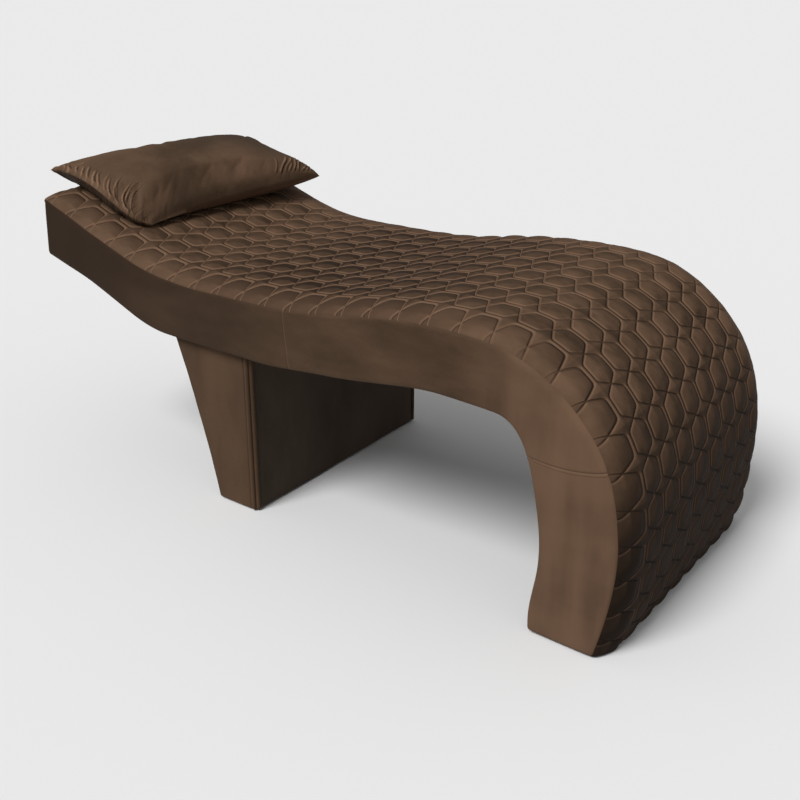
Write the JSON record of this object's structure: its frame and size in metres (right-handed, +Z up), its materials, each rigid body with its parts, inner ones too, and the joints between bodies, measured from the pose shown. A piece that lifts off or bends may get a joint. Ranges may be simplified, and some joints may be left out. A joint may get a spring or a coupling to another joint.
{
  "type": "beauty treatment bed",
  "caption": "Wave-shaped velvet treatment bed with a quilted top, a slab pedestal under the head half, a foot end that curves down to the floor, and a loose pillow with a zip.",
  "frame": {"origin": "on the floor, under the middle of the bounding box", "axes": "+X from the head end towards the foot end, +Y across the bed, +Z up"},
  "size_m": [1.7774, 0.75, 0.8191],
  "materials": {
    "velvet": "brown velvet, soft nap",
    "side_velvet": "brown velvet, plain",
    "lining": "dark brown lining cloth",
    "foam": "open-cell foam",
    "plywood": "bare plywood",
    "hardboard": "bare hardboard",
    "steel": "zinc-plated steel",
    "plastic": "black moulded plastic",
    "pillow_fill": "filled cotton case",
    "zip": "brown coil zip on woven tape",
    "zip_metal": "antique brass"
  },
  "bodies": {
    "bed": {"corner_welt_far": "velvet", "corner_welt_near": "velvet", "foam_pad": "foam", "foot_glide_1": "plastic", "foot_glide_2": "plastic", "foot_glide_3": "plastic", "foot_glide_4": "plastic", "foot_rail": "plywood", "head_end_cover": "side_velvet", "head_rail": "plywood", "lower_batten_1": "plywood", "lower_batten_2": "plywood", "lower_batten_3": "plywood", "mount_board": "plywood", "pedestal_base_plate": "plywood", "pedestal_board_far": "plywood", "pedestal_board_near": "plywood", "pedestal_bolt_1": "steel", "pedestal_bolt_2": "steel", "pedestal_bolt_3": "steel", "pedestal_bolt_4": "steel", "pedestal_cover_far": "velvet", "pedestal_cover_foot": "side_velvet", "pedestal_cover_head": "side_velvet", "pedestal_cover_near": "velvet", "pedestal_glide_1": "plastic", "pedestal_glide_2": "plastic", "pedestal_glide_3": "plastic", "pedestal_glide_4": "plastic", "pedestal_panel_foot": "plywood", "pedestal_panel_head": "plywood", "pedestal_top_plate": "plywood", "quilted_cover": "velvet", "rib_far": "plywood", "rib_near": "plywood", "side_cover_far_head": "side_velvet", "side_cover_far_leg": "side_velvet", "side_cover_far_middle": "side_velvet", "side_cover_near_head": "side_velvet", "side_cover_near_leg": "side_velvet", "side_cover_near_middle": "side_velvet", "tee_nut_1": "steel", "tee_nut_2": "steel", "tee_nut_3": "steel", "tee_nut_4": "steel", "top_deck": "plywood", "underside_cover": "lining", "underside_panel": "hardboard", "upper_batten_1": "plywood", "upper_batten_2": "plywood", "upper_batten_3": "plywood", "upper_batten_4": "plywood", "upper_batten_5": "plywood", "upper_batten_6": "plywood"},
    "pillow": {"pillow_top_panel": "velvet", "pillow_bottom_panel": "velvet", "pillow_insert": "pillow_fill", "pillow_zip": "zip"},
    "zip_slider": {"zip_slider": "zip_metal"},
    "zip_pull": {"zip_pull": "zip_metal"}
  },
  "joints": [
    {"name": "pillow_lift", "type": "slide", "parent": "bed", "child": "pillow", "axis": [0, 0, 1], "range_m": [0, 0.3]},
    {"name": "zip_slide", "type": "slide", "parent": "pillow", "child": "zip_slider", "axis": [0.0813, 0.9963, -0.0261], "range_m": [-0.24, 0]},
    {"name": "zip_pull_turn", "type": "hinge", "parent": "zip_slider", "child": "zip_pull", "pos_m": [-0.83711, 0.14817, 0.76586], "axis": [0.3053, 0, 0.9523], "range_deg": [-175, 0]}
  ]
}
